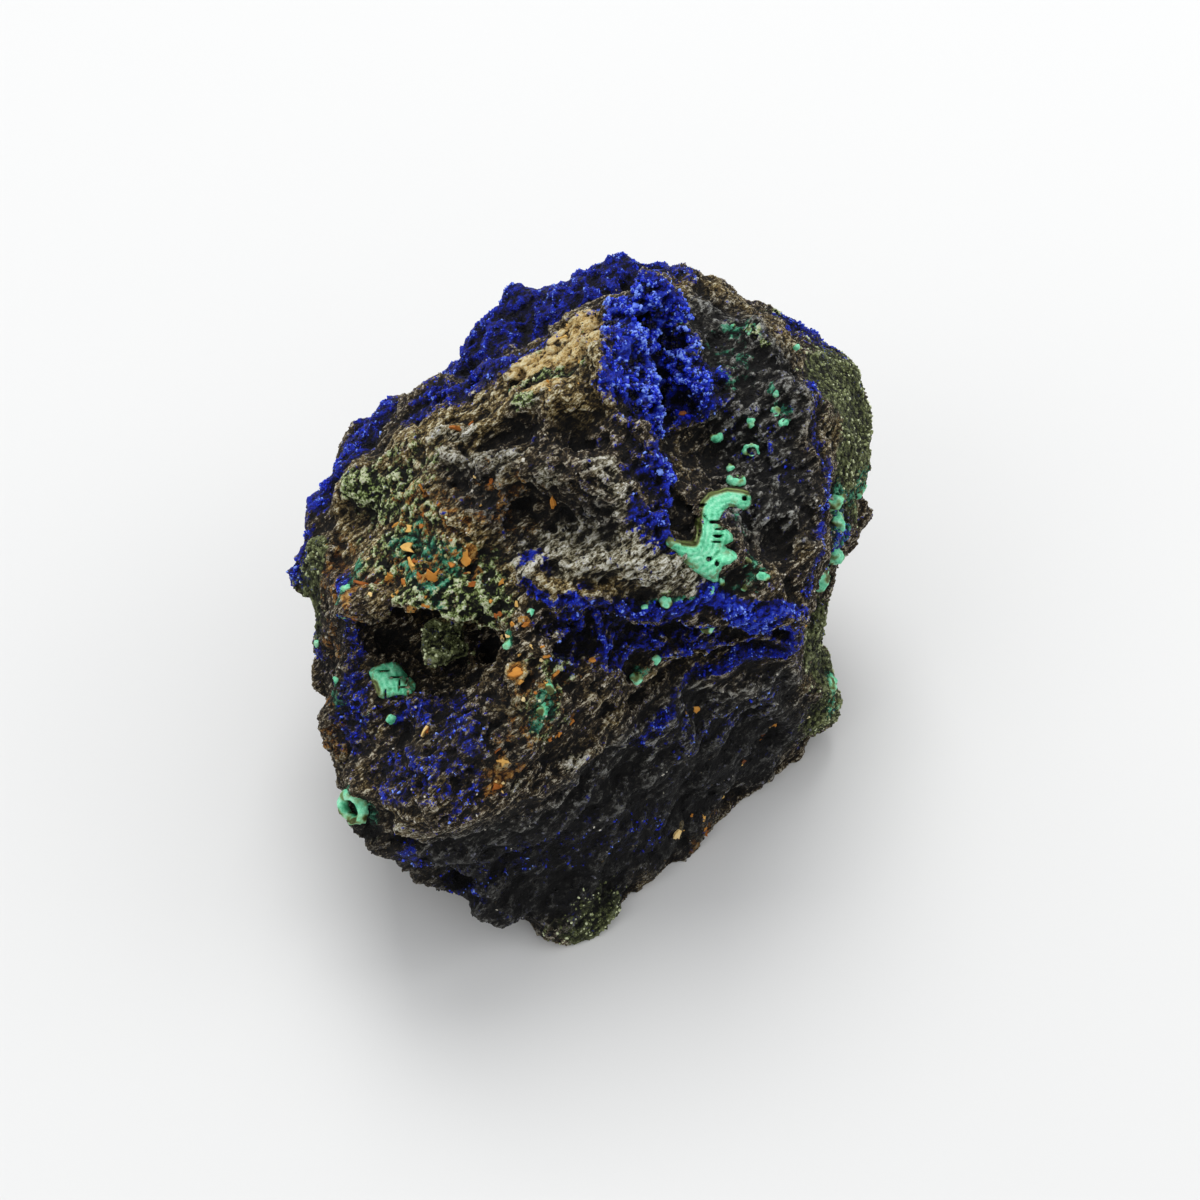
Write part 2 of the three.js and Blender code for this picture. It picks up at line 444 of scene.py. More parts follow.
beads = {
    # place and size of each rounded malachite spot
    "spots": [
        ((24, 3, 70), 0.9), ((30, 3, 70), 0.8), ((29, 5.5, 70), 1.0), ((29, 8.5, 72), 0.8), ((20, 0.5, 68), 1.1),
        ((21.5, -1.5, 67), 0.7), ((26, -20, 61), 1.0), ((25, -18, 63), 0.6), ((20, -21, 60), 0.8), ((23, -21, 59), 0.7),
        ((10, -26, 48), 0.9), ((7, -27, 45), 1.1), ((-9, -26, 59), 0.7), ((-13, -29, 56), 0.9), ((-38, -16, 53), 1.1),
        ((-39, -19, 50), 0.9), ((-41, -25, 41), 0.8), ((-46, -16, 39), 0.9), ((-32, -34, 43), 1.0), ((23, 22, 75), 0.7),
        ((14, 15, 81), 0.8), ((25, 19, 75), 0.6), ((34, 19, 72), 0.5), ((-7, -37, 50), 1.3), ((-6, -35, 52), 1.0),
        ((11, -24.5, 60), 1.2), ((8, -25, 59), 0.8), ((18, -22.5, 60), 0.8),
    ],
    "rings": [((24, 0, 68), 1.0), ((22, -4, 67), 1.3), ((18, -24, 52), 1.0)],
    "lumps": [
        ((39, -3, 40), 3.0), ((41, 0, 52), 2.2), ((42, 3, 49), 2.4), ((45, 12, 47), 2.2), ((40, -1, 44), 2.2),
        ((43, -8, 19), 1.8),
    ],
    "tube": 0.36,  # thickness of a ring, as a share of its radius
    "vug": ((-37.0, -42.4, 31.6), 2.2),
    "vugMargin": 3.4,  # no grains are sown this close to it
    "vugFacing": (-0.50, -0.72, 0.48),
}

# Strokes that raise and lower the rock, as in paint.
relief = {
    "ridges": [
        ([(-4, -49, 2), (4, -43, 2)], 3.0, 1.0),
        ([(9, -39, 3)], 2.6, 0.8),
        ([(16, -32, 2), (22, -27, 2)], 3.0, 1.0),
        ([(30, -19, 4)], 2.6, 0.9), ([(38, -12, 2)], 3.0, 0.7),
        ([(-36, -44, 26), (-33, -46, 20)], 4.0, 0.8),
        ([(-27, 2, 68), (-20, 1, 72), (-14, 1, 75), (-8, 0, 77), (-2, -2, 80)], 2.2, 1.3),
        ([(-23, -3, 70), (-17, -5, 71), (-11, -9, 72), (-5, -12, 73), (1, -15, 74)], 2.2, 1.0),
        ([(-37, -18, 53), (-29, -23, 56), (-23, -24, 58), (-17, -23, 58)], 2.4, 1.8),
        ([(-9, -19, 62), (-5, -24, 61), (2, -24, 60), (11, -25, 58), (16, -23, 59), (32, -20, 50)], 1.8, 1.2),
        ([(33, -19, 45), (23, -21, 41), (16, -24, 39), (12, -27, 36)], 1.8, 1.2),
        ([(9, 16, 86), (15, 14, 80), (17, 9, 75), (18, 6, 73)], 1.8, 1.2),
        ([(0, 8, 82), (1, 0, 82), (7, -6, 79), (11, -11, 77)], 1.8, 1.0),
        ([(-28, -48, 35), (-19, -49, 37), (-12, -45, 38), (-5, -40, 37), (0, -36, 38)], 2.0, 1.2),
        ([(28, 20, 73), (33, 7, 71), (35, -1, 64), (33, -14, 57), (33, -19, 50)], 2.4, 1.2),
        ([(-9, -19, 62), (-3, -20, 65), (4, -21, 67), (12, -22, 66)], 2.2, 1.0),
    ],
    "grooves": [
        ([(6, -42, 1)], 2.0, 0.9),
        ([(13, -35, 1)], 2.2, 0.8),
        ([(26, -23, 1)], 2.2, 0.9),
        ([(34, -15, 1)], 1.8, 0.8),
        ([(-22, -1, 71), (-14, -2, 73), (-5, -6, 76), (1, -10, 78)], 2.0, 0.6),
        ([(-14, -11, 69), (-5, -16, 69), (1, -19, 69)], 2.6, 0.9),
        ([(-5, -28, 58), (8, -25, 53), (20, -24, 50), (30, -21, 46)], 2.0, 1.8),
        ([(8, -28, 40), (16, -24, 42), (23, -21, 43), (31, -21, 44)], 1.4, 1.8),
        ([(3, 27, 74), (-8, 26, 70), (-20, 20, 65)], 3.0, 1.6),
        ([(-15, -29, 54), (-16, -34, 52), (-14, -39, 51)], 2.0, 1.8),
    ],
}

recessBlock = {"middle": (-22.6, -23.2, 49.6), "size": (8.4, 8.5, 3.6), "turn": (0.30, 0.12, 0.35), "bevel": 0.7}

# Hollows cut into the stone: middle and radii. Their walls are made uneven by lumps.
hollowLumps = {"wave": 4, "height": 2.2}
hollows = {
    "recessUnderLip": ((-26, -24, 50.5), (11, 9, 6.5)),
    "cleft": ((-16, -33, 54), (1.6, 7, 4.5)),
    "cleftFoot": ((-16.8, -38, 50.8), (1.0, 3.4, 2.4)),
    "ringedPit": ((-29.5, -35.5, 43.5), (1.2, 1.0, 2.2)),
    "slotByRibbon": ((14.5, -16, 71), (1.3, 6, 3.5)),
    "shoulderHole": ((31, -13, 62), (3, 3, 4)),
    "crownHole": ((14, 14, 80), (2.4, 2, 3)),
    "lowerHole": ((-29, -47, 28), (3.4, 3, 1.8)),
    "toeHole": ((-22, -49, 14), (4, 4, 2.5)),
    "leftHole": ((-40, -37, 36), (2.2, 3, 3)),
    "underRimLeft": ((-1, -28, 55), (7, 3, 2.4)),
    "underRimMiddle": ((13, -27, 53), (8, 3, 2.2)),
    "underRimRight": ((27, -22, 47), (6, 3.4, 1.8)),
    "ringHole": ((-36.5, -41.5, 31), (2.2, 2.2, 2.2)),
}


def noiseTexture(name, kind, wave, **settings):
    texture = bpy.data.textures.new(name, kind)
    texture.noise_scale = wave * mm
    for key, value in settings.items():
        setattr(texture, key, value)
    return texture


# Layers of relief: texture, wavelength, height, zone, whether it follows the bedding, and texture settings.
# A hard noise has round tops and sharp valleys, and a height below nothing turns it into sharp crests.
hard = {"noise_depth": 2, "noise_type": "HARD_NOISE"}
crests = {"musgrave_type": "RIDGED_MULTIFRACTAL", "octaves": 4}
broadRelief = [
    ("lumps", "CLOUDS", 14, 0.75, "all", False, {"noise_depth": 1}),
    ("ledges", "MUSGRAVE", 9.0, 0.38, "matrix", True, crests),
    ("fracture", "CLOUDS", 6.0, 0.30, "matrix", True, {"noise_depth": 4}),
    ("crags", "CLOUDS", 5.0, -0.08, "matrix", False, hard),
    ("folds", "CLOUDS", 8.0, -0.6, "undercut", True, hard),
    ("undercutLumps", "CLOUDS", 5.0, 0.45, "undercut", False, {"noise_depth": 3}),
    ("crustLumps", "VORONOI", 8.0, 1.0, "crust", False, {"weight_1": -1.0}),
    ("crustFolds", "CLOUDS", 5.0, -0.5, "crust", False, hard),
]
fineRelief = [
    ("strata", "CLOUDS", 1.3, -0.10, "matrix", True, hard),
    ("roughness", "CLOUDS", 1.3, 0.06, "matrix", False, {"noise_depth": 3}),
    ("grit", "CLOUDS", 0.8, -0.045, "matrix", False, hard),
    ("undercutRoughness", "CLOUDS", 2.0, 0.10, "undercut", False, {"noise_depth": 3}),
    ("undercutGrit", "CLOUDS", 0.9, -0.07, "undercut", False, hard),
    ("budFolds", "CLOUDS", 2.4, -0.14, "crust", False, hard),
    ("crustGrit", "CLOUDS", 0.9, 0.045, "crust", False, {"noise_depth": 2}),
    ("brokenGrains", "CLOUDS", 1.0, 0.08, "broken", False, {"noise_depth": 2}),
]
# Broken slabs along the bedding: their length, width and thickness, and how far they step.
slabs = {"broad": ((9, 6, 3.2), 0.85), "fine": ((2.2, 1.6, 0.7), 0.22), "blocks": ((1.3, 1.0, 0.7), 0.09)}
# Pitted places: path, radius, wave and depth.
pits = {
    "crownPits": ([(8, 12, 84), (12, 8, 79), (11, 3, 76), (12, -2, 74)], 6, 2.0, 1.1),
    "trailPits": ([(13, -5, 73), (13, -12, 73), (11, -20, 71)], 4, 1.5, 0.8),
    "rimPits": ([(-3, -26, 58), (10, -26, 55), (24, -23, 50)], 6, 1.8, 0.8),
    "lobePits": ([(-26, -40, 45), (-20, -40, 48)], 9, 1.8, 0.7),
    "faceTopPits": ([(-20, -8, 70), (-8, -14, 70), (0, -10, 76)], 9, 2.1, 0.7),
}


def beddingEmpty():
    bpy.ops.object.empty_add()
    empty = bpy.context.object
    empty.name = "beddingAxes"
    turn = Matrix((streak, across, layer)).transposed().to_4x4()
    empty.matrix_world = turn @ Matrix.Diagonal((3.0, 1.6, 0.9, 1.0))
    bpy.context.view_layer.update()
    return empty


def spread(piece, values, rounds):
    # Averages values over neighbouring points, again and again.
    edges = readAll(piece.data.edges, "vertices", 2, int)
    ends = edges.T.ravel()
    others = edges[:, ::-1].T.ravel()
    count = np.maximum(np.bincount(ends, minlength=len(values)), 1)
    for _ in range(rounds):
        values = np.column_stack([np.bincount(ends, column[others], len(values)) / count for column in values.T])
    return values


def calmNormals(piece, rounds):
    # Which way the surface faces on the whole, so that layers of relief don't lean over each other.
    facing = spread(piece, normalsOf(piece), rounds)
    return facing / np.maximum(np.linalg.norm(facing, axis=1), 1e-6)[:, None]


def push(piece, layerOfRelief, zones, axes, facing):
    # Moves the points outwards. The height is the spread of the relief, in millimetres.
    name, kind, wave, height, zone, bedded, settings = layerOfRelief
    before, normals = pointsOf(piece), normalsOf(piece)
    placing = {"texture_coords": "OBJECT", "texture_coords_object": axes} if bedded else {}
    texture = noiseTexture(name, kind, wave, **settings)
    applyModifier(piece, "DISPLACE", texture=texture, strength=mm, mid_level=0.5, **placing)
    rise = ((pointsOf(piece) - before) * normals).sum(1)
    rise = np.clip((rise - rise.mean()) / rise.std(), -2.3, 2.3)
    setPoints(piece, before + facing * (height * rise * zones[zone])[:, None])


def stepSlabs(piece, name, zones, facing):
    size, height = slabs[name]
    points = pointsOf(piece)
    bent = wander(points, size[0] * 0.9, size[2] * 0.8)
    bedded = bent @ np.array([streak / size[0], across / size[1], layer / size[2]]).T
    step = np.array([noise.cell(Vector(p)) for p in bedded]) - 0.5
    setPoints(piece, points + facing * (height * step * zones["matrix"])[:, None])


def zonesOf(piece, facing):
    spots = wander(pointsOf(piece), 6, 1.4)
    raised = 1 - smoothStep(-facing[:, 2], 0.55, 0.85)  # the foot stays flat
    crust = brush(spots, [s for s in paint["azurite"] if s[2] >= 0.9 and s[1] >= 5])
    undercut = np.clip(brush(spots, paint["dark"][:2], (0.6, 1.3)) * 1.3, 0, 1)
    broken = brush(spots, paint["olive"], (0.7, 1.2))
    return {
        "all": raised,
        "crust": crust * raised,
        "undercut": undercut * raised,
        "broken": broken * raised,
        "matrix": (1 - 0.75 * crust) * (1 - 0.85 * undercut) * (1 - 0.6 * broken) * raised,
    }


meshing = {
    "coarse": 0.8,  # facets while the broad relief is raised
    "fine": 0.39,  # facets of the finished rock
    "footGap": 0.02,  # the lowest points stay this far above the floor
}


def makeRock():
    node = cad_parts["azurite_specimen"]
    rock = bpy.data.objects.new("rockBody", node.data.copy())
    bpy.context.scene.collection.objects.link(rock)
    rock.data.materials.clear()
    activate(rock)
    bpy.ops.object.mode_set(mode="EDIT")
    bpy.ops.mesh.select_all(action="SELECT")
    bpy.ops.mesh.remove_doubles(threshold=0.001 * mm)
    bpy.ops.mesh.normals_make_consistent(inside=False)
    bpy.ops.object.mode_set(mode="OBJECT")

    lumps = noiseTexture("hollowLumps", "CLOUDS", hollowLumps["wave"])
    for place, radii in hollows.values():
        bpy.ops.mesh.primitive_ico_sphere_add(subdivisions=4, radius=1, location=Vector(place) * mm)
        tool = bpy.context.object
        tool.scale = Vector(radii) * mm
        bpy.ops.object.transform_apply(location=True, rotation=True, scale=True)
        applyModifier(tool, "DISPLACE", texture=lumps, strength=hollowLumps["height"] * mm, mid_level=0.5)
        applyModifier(rock, "BOOLEAN", object=tool, operation="DIFFERENCE", solver="EXACT")
        discard(tool)
    bpy.ops.mesh.primitive_cube_add(size=1, location=Vector(recessBlock["middle"]) * mm)
    block = bpy.context.object
    block.scale = Vector(recessBlock["size"]) * mm
    block.rotation_euler = recessBlock["turn"]
    bpy.ops.object.transform_apply(location=True, rotation=True, scale=True)
    applyModifier(block, "BEVEL", width=recessBlock["bevel"] * mm, segments=2)
    applyModifier(rock, "BOOLEAN", object=block, operation="UNION", solver="EXACT")
    discard(block)
    print("hollows cut")

    axes = beddingEmpty()
    applyModifier(rock, "REMESH", mode="VOXEL", voxel_size=meshing["coarse"] * mm)
    applyModifier(rock, "SMOOTH", factor=0.5, iterations=3)
    facing = calmNormals(rock, 6)
    zones = zonesOf(rock, facing)
    spots = wander(wander(pointsOf(rock), 7, 2.2), 3, 0.8)
    lift = brush(spots, relief["ridges"], (0.0, 1.8)) - 1.1 * brush(spots, relief["grooves"], (0.0, 1.8))
    for layerOfRelief in broadRelief:
        push(rock, layerOfRelief, zones, axes, facing)
    stepSlabs(rock, "broad", zones, facing)
    setPoints(rock, pointsOf(rock) + facing * ((1.7 * lift - 0.55) * zones["all"])[:, None])
    keepAbove(rock, 0)
    print("ledges, crags and folds raised")

    applyModifier(rock, "REMESH", mode="VOXEL", voxel_size=meshing["fine"] * mm)
    facing = calmNormals(rock, 8)
    zones = zonesOf(rock, facing)
    stepSlabs(rock, "fine", zones, facing)
    stepSlabs(rock, "blocks", zones, facing)
    for layerOfRelief in fineRelief:
        push(rock, layerOfRelief, zones, axes, facing)
    points = pointsOf(rock)
    for path, radius, wave, depth in pits.values():
        here = brush(points, [(path, radius, 1.0)], (0.5, 1.2))
        near = here > 0.01
        hole = smoothStep(noiseAt(points[near], wave, 7.7), 0.12, 0.42)
        points[near] -= facing[near] * (hole * here[near] * depth)[:, None]
    setPoints(rock, points)
    keepAbove(rock, meshing["footGap"])
    discard(axes)
    return rock


rock = makeRock()
print("rock body shaped:", len(trianglesOf(rock)), "triangles")


def convexity(piece, rounds):
    # How far each point stands out from its surroundings, in millimetres.
    points = pointsOf(piece)
    return ((points - spread(piece, points, rounds)) * calmNormals(piece, 4)).sum(1)


def paintRock(piece):
    points = pointsOf(piece)
    spots = wander(wander(points, 7, 2.4), 2.4, 0.9)
    patches = smoothStep(noiseAt(points, 17, 3.3), -0.05, 0.45)
    greens = smoothStep(noiseAt(points, 14, 9.1), 0.0, 0.5)
    rusts = smoothStep(noiseAt(points, 11, 5.7), 0.15, 0.6)
    hidden = smoothStep(points[:, 1] + 0.25 * points[:, 2], 42, 56)  # the side away from the front
    masks = {name: brush(spots, strokes) for name, strokes in paint.items()}
    chance = np.random.default_rng(60)
    for place, size, tone in flecks["places"]:
        lean = chance.normal(0, 0.3 * size, 3)
        stain = brush(spots, [([place - lean, place + lean], 0.62 * size, 1.2)], (0.4, 1.3))
        kind = "orange" if tone > 0.42 else "tan"
        masks[kind] = np.maximum(masks[kind], stain)
    rims = [([place], size * 1.5, 0.72) for kind in ("spots", "rings", "lumps") for place, size in beads[kind]]
    masks["teal"] = np.maximum(masks["teal"], brush(spots, rims))
    masks["azurite"] *= 1 - np.clip(masks["tan"], 0, 1)
    masks["azurite"] = np.maximum(np.maximum(masks["azurite"], hidden * patches * 0.95), 0.20)
    masks["green"] = np.maximum(masks["green"], hidden * greens * 0.6)
    masks["orange"] = np.maximum(masks["orange"], hidden * rusts * 0.5)
    # Painted highlight and shade: above a half on crests and below it in small hollows. It lightens and darkens the
    # finishes and the grains, and draws stone chips to the crests.
    masks["standing"] = np.clip(convexity(piece, 6) * 2.6 + 0.5, 0, 1)
    # Painted shade: the value is higher where the surface lies in a broad hollow.
    masks["deep"] = np.clip(0.35 - convexity(piece, 90) * 0.85, 0, 1)
    return masks


masks = paintRock(rock)
print("mineral zones painted")


rockColours = {
    "darker": [
        (0.425, (3, 2, 1)), (0.472, (22, 16, 8)), (0.515, (54, 42, 25)),
        (0.556, (104, 88, 61)), (0.62, (224, 216, 194)),
    ],
    "lighter": [
        (0.42, (7, 5, 2)), (0.464, (60, 46, 21)), (0.506, (120, 99, 54)),
        (0.547, (178, 158, 105)), (0.60, (246, 240, 212)),
    ],
    "dark": [
        (0.41, (2, 2, 2)), (0.465, (19, 18, 16)), (0.518, (50, 47, 41)),
        (0.565, (102, 100, 93)), (0.64, (186, 186, 180)),
    ],
    "pale": [
        (0.42, (6, 5, 3)), (0.456, (66, 58, 37)), (0.494, (138, 128, 96)),
        (0.532, (202, 197, 172)), (0.585, (250, 248, 238)),
    ],
    "tan": [(0.40, (36, 26, 12)), (0.45, (170, 136, 78)), (0.50, (228, 196, 128)), (0.58, (250, 236, 192))],
    "olive": [(0.36, (18, 20, 8)), (0.43, (64, 70, 36)), (0.51, (106, 113, 66)), (0.62, (160, 168, 122))],
    "green": [
        (0.425, (12, 16, 5)), (0.462, (66, 76, 31)), (0.50, (122, 140, 69)),
        (0.54, (178, 198, 130)), (0.60, (238, 242, 208)),
    ],
    "teal": [(0.34, (6, 34, 26)), (0.45, (28, 100, 74)), (0.56, (84, 176, 138)), (0.7, (168, 226, 196))],
    "orange": [(0.40, (26, 14, 4)), (0.46, (118, 72, 26)), (0.52, (190, 134, 56)), (0.60, (228, 190, 118))],
    "azurite": [
        (0.38, (1, 1, 10)), (0.46, (4, 7, 62)), (0.53, (8, 24, 148)), (0.60, (18, 56, 214)), (0.74, (104, 134, 232)),
    ],
}


def rockFinish():
    finish = Finish("weatheredMatrix")
    spot = finish.places()
    broad = finish.noise(spot, 8, 4)
    grit = finish.noise(spot, 0.85, 5, 0.75)
    fine = finish.noise(spot, 0.34, 3, 0.7)
    strands = finish.noise(finish.beddedPlaces(spot, (2.2, 0.85, 0.5)), 0.58, 4, 0.7, 0.6)
    # standing lightens crests and darkens small hollows: painted highlight and painted shade.
    standing = finish.painted("standing") - 0.5
    tone = strands * 0.5 + grit * 0.3 + fine * 0.2 + standing * 0.12
    grainy = fine * 0.5 + grit * 0.4 + standing * 0.3

    def mottle(place, wave=3.6):
        moved = finish.node("ShaderNodeVectorMath", {"operation": "ADD"}, {0: spot, 1: (place, place * 2, -place)})
        return finish.noise(moved, wave, 6, 0.78)

    def cover(name, grain, reach=2.4, sharp=0.09):
        return (finish.painted(name) + (grain - 0.5) * reach).step(0.5 - sharp, 0.5 + sharp)

    warm = (mottle(29, 9) * 1.4 - 0.28 + finish.painted("buff") * 0.55).step(0.42, 0.72)
    body = finish.blend(warm, finish.ramp(tone, rockColours["darker"]), finish.ramp(tone, rockColours["lighter"]))
    layers = [
        # mask, place and wave of its mottle, how far and how softly it breaks up, and the pattern inside it
        ("dark", (3, 3.6), (0.8, 0.3), broad * 0.15 + strands * 0.35 + grit * 0.25 + fine * 0.25 + standing * 0.2),
        # pale: a pale fibrous colour, and along the ridges a painted highlight.
        ("pale", (5, 3.0), (2.2, 0.2), tone),
        ("tan", (13, 2.6), (1.6, 0.09), tone),
        ("olive", (7, 5), (1.2, 0.1), grit * 0.55 + fine * 0.35 + standing * 0.3),
        ("green", (11, 2.6), (2.4, 0.09), grainy),
        ("teal", (31, 2.2), (2.4, 0.09), grainy),
        ("orange", (17, 1.9), (2.4, 0.09), tone),
    ]
    for name, patches, edges, pattern in layers:
        body = finish.blend(cover(name, mottle(*patches), *edges), body, finish.ramp(pattern, rockColours[name]))

    blueCover = cover("azurite", mottle(19, 2.2) * 0.55 + grit * 0.45, 3.2, 0.06)
    facets = fine * 0.40 + grit * 0.30 + mottle(23, 3) * 0.25 + standing * 0.20 + finish.painted("vivid") * 0.09
    body = finish.blend(blueCover, body, finish.ramp(facets, rockColours["azurite"]))
    # Painted shade: the undercut and the other darkened strokes are blended towards black.
    body = finish.blend(finish.painted("soot") * 0.84, body, (0.004, 0.004, 0.005))
    # Painted shade: broad hollows are blended towards black.
    body = finish.blend((finish.painted("deep") * 1.5 - 0.56).clamp() * 0.80, body, (0.004, 0.0035, 0.003))

    height = fine * 0.6 + grit * 0.9 + strands * 1.3
    finish.set(Base_Color=body, Roughness=0.74 - blueCover * 0.26, Normal=finish.bump(height, 0.75, 1.0))
    return finish.material


def halve(piece, axis, name):
    # Parts a closed mesh at its middle point, and the cut closes both halves.
    reach = 100  # half the cutter's width, so that it holds its half of the stone
    cut = float(np.median(pointsOf(piece)[:, axis]))
    halves = []
    for side, away in (("Low", -reach), ("High", reach)):
        half = piece.copy()
        half.data = piece.data.copy()
        half.name = half.data.name = name + side
        bpy.context.scene.collection.objects.link(half)
        place = Vector((0, 0, reach / 2))
        place[axis] = cut + away
        bpy.ops.mesh.primitive_cube_add(size=2 * reach * mm, location=place * mm)
        cutter = bpy.context.object
        cutter.data.materials.append(piece.data.materials[0])
        applyModifier(half, "BOOLEAN", object=cutter, operation="INTERSECT", solver="MANIFOLD")
        discard(cutter)
        halves.append(half)
    discard(piece)
    return halves


def matchShading(piece, tree):
    # The points made by the cut shade as the whole stone did there, so that the blocks meet unseen.
    mesh = piece.data
    near = [tree.find_n(point, 2) for point in pointsOf(piece)]
    made = np.array([found[0][2] > 1e-4 for found in near])  # no point of the whole stone is there
    facing = np.zeros((len(near), 3))
    for i in np.nonzero(made)[0]:
        (_, a, toA), (_, b, toB) = near[i]
        facing[i] = (rockNormals[a] * toB + rockNormals[b] * toA) / (toA + toB)
    flat = np.abs(readAll(mesh.polygons, "normal", 3)).max(1) > 0.9999  # only the cut lies along an axis
    onCut = np.repeat(flat, readAll(mesh.polygons, "loop_total", 1, int))
    corners = readAll(mesh.loops, "vertex_index", 1, int)
    normals = readAll(mesh.corner_normals, "vector", 3)
    changed = made[corners] & ~onCut
    normals[changed] = facing[corners[changed]]
    mesh.normals_split_custom_set(normals.tolist())
    return np.array([found[0][1] for found in near])


def partRock():
    finish = rockFinish()
    tree = KDTree(len(rockPoints))
    for i, point in enumerate(rockPoints):
        tree.insert(point, i)
    tree.balance()
    rock.data.materials.append(finish)
    quarters = [q for half in halve(rock, 0, "rock") for q in halve(half, 1, half.name)]
    for quarter in quarters:
        activate(quarter)
        bpy.ops.object.shade_smooth_by_angle(angle=math.radians(62))
        nearest = matchShading(quarter, tree)
        for name, values in masks.items():
            storeOn(quarter, name, values[nearest])
        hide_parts("azurite_specimen")
        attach(quarter, "root")
        print(quarter.name, len(trianglesOf(quarter)), "triangles")


rockPoints, rockNormals = pointsOf(rock), normalsOf(rock)
rockTree = BVHTree.FromObject(rock, bpy.context.evaluated_depsgraph_get())
partRock()
print("rock parted and finished")


def makeMesh(name, points, faces):
    mesh = bpy.data.meshes.new(name)
    mesh.vertices.add(len(points))
    mesh.vertices.foreach_set("co", (points * mm).ravel())
    mesh.loops.add(faces.size)
    mesh.loops.foreach_set("vertex_index", faces.ravel())
    mesh.polygons.add(len(faces))
    mesh.polygons.foreach_set("loop_start", np.arange(0, faces.size, 3))
    mesh.update(calc_edges=True)
    piece = bpy.data.objects.new(name, mesh)
    bpy.context.scene.collection.objects.link(piece)
    return piece


def finishPiece(piece, material):
    piece.data.materials.clear()
    piece.data.materials.append(material)
    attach(piece, "root")
    print(piece.name, len(trianglesOf(piece)), "triangles")


def cutGrain(width, depth, height, taper):
    # One crystal: a block whose top face is drawn in and pushed aside.
    bpy.ops.mesh.primitive_cube_add(size=1)
    grain = bpy.context.object
    bpy.ops.object.mode_set(mode="EDIT")
    bpy.ops.mesh.select_all(action="SELECT")
    bpy.ops.transform.resize(value=(width, depth, height))
    bpy.ops.mesh.select_all(action="DESELECT")
    bpy.ops.object.mode_set(mode="OBJECT")
    for face in grain.data.polygons:
        face.select = face.normal.z > 0.5
    bpy.ops.object.mode_set(mode="EDIT")
    bpy.ops.transform.resize(value=(taper, taper * 1.3, 1))
    bpy.ops.transform.translate(value=(0.14 * width, -0.10 * depth, 0))
    bpy.ops.object.mode_set(mode="OBJECT")
    points = pointsOf(grain) * mm
    faces = trianglesOf(grain)
    discard(grain)
    return points, faces


def sowGrains(name, weight, count, sizes, shape, seed, lean=0.9):
    # Copies one crystal over the stone, each turned and sized on its own, and joins the copies.
    chance = np.random.default_rng(seed)
    grainPoints, grainFaces = shape
    hosts = chance.choice(len(rockPoints), count, p=weight / weight.sum())
    up = rockNormals[hosts] + chance.normal(0, lean, (count, 3))
    up /= np.linalg.norm(up, axis=1)[:, None]
    side = np.cross(up, chance.normal(0, 1, (count, 3)))
    side /= np.linalg.norm(side, axis=1)[:, None]
    turn = np.stack([side, np.cross(up, side), up], axis=2)
    size = sizes[0] + (sizes[1] - sizes[0]) * chance.random(count) ** 2.2
    stretch = 1 + chance.normal(0, 0.22, (count, 1, 3))
    local = grainPoints[None] * stretch * size[:, None, None]
    placed = np.einsum("nij,npj->npi", turn, local)
    placed += (rockPoints[hosts] - rockNormals[hosts] * 0.06 * size[:, None])[:, None, :]
    placed[..., 2] = np.maximum(placed[..., 2], meshing["footGap"])
    faces = grainFaces[None] + (np.arange(count) * len(grainPoints))[:, None, None]
    piece = makeMesh(name, placed.reshape(-1, 3), faces.reshape(-1, 3).astype(np.int32))
    # Grains are lighter on crests and darker in hollows: painted highlight and painted shade.
    tone = chance.random(count) ** 1.25 * 0.95 + masks["vivid"][hosts] * 0.12
    tone = tone + (masks["standing"][hosts] - 0.5) * 0.6 - masks["deep"][hosts] * 0.5
    storeOn(piece, "tone", np.repeat(np.clip(tone, 0, 1), len(grainPoints)))
    return piece


# The malachite plates are drawn flat, across and up the slope, around their middles.
slopeRight = Vector((1, 0, 0))
slopeOut = Vector((0, -0.643, 0.766))
slopeUp = slopeOut.cross(slopeRight)

ribbon = {
    "middle": (18.2, -17.5, 67.5),
    "outline": [
        (6.6, 5.7), (5.9, 7.3), (2.7, 7.6), (-0.4, 6.5), (-1.8, 5.0), (-2.3, 3.2), (-2.6, 0.4), (-3.0, -1.2),
        (-5.6, -0.9), (-7.3, -0.4), (-7.1, -2.1), (-5.9, -2.6), (-4.8, -4.0), (-2.5, -6.0), (0.4, -7.5),
        (1.2, -7.1), (0.9, -6.1), (1.7, -5.1), (3.4, -4.8), (4.3, -3.7), (3.4, -2.6), (1.5, -1.9), (3.7, -1.0),
        (2.5, 0.5), (1.0, 1.2), (1.3, 2.6), (3.0, 4.5), (5.4, 3.6), (6.5, 4.5),
    ],
    "banded": [
        (6.4, 7.0), (2.7, 7.6), (-0.4, 6.5), (-1.8, 5.0), (-2.3, 3.2), (-2.6, 0.4), (-3.0, -1.2), (-7.3, -0.4),
    ],
    "lift": 1.15,
    # each slit or hole: place, half its length, half its width
    "slits": [
        ((5.4, 5.6), 0.45, 0.45), ((-1.6, 4.4), 0.9, 0.28), ((0.5, 1.7), 1.1, 0.28), ((1.2, 0.6), 0.9, 0.25),
        ((0.8, -0.4), 0.8, 0.28), ((0.6, -1.3), 0.8, 0.22), ((-0.6, -3.9), 0.5, 0.4), ((0.6, -4.6), 0.35, 0.5),
    ],
}
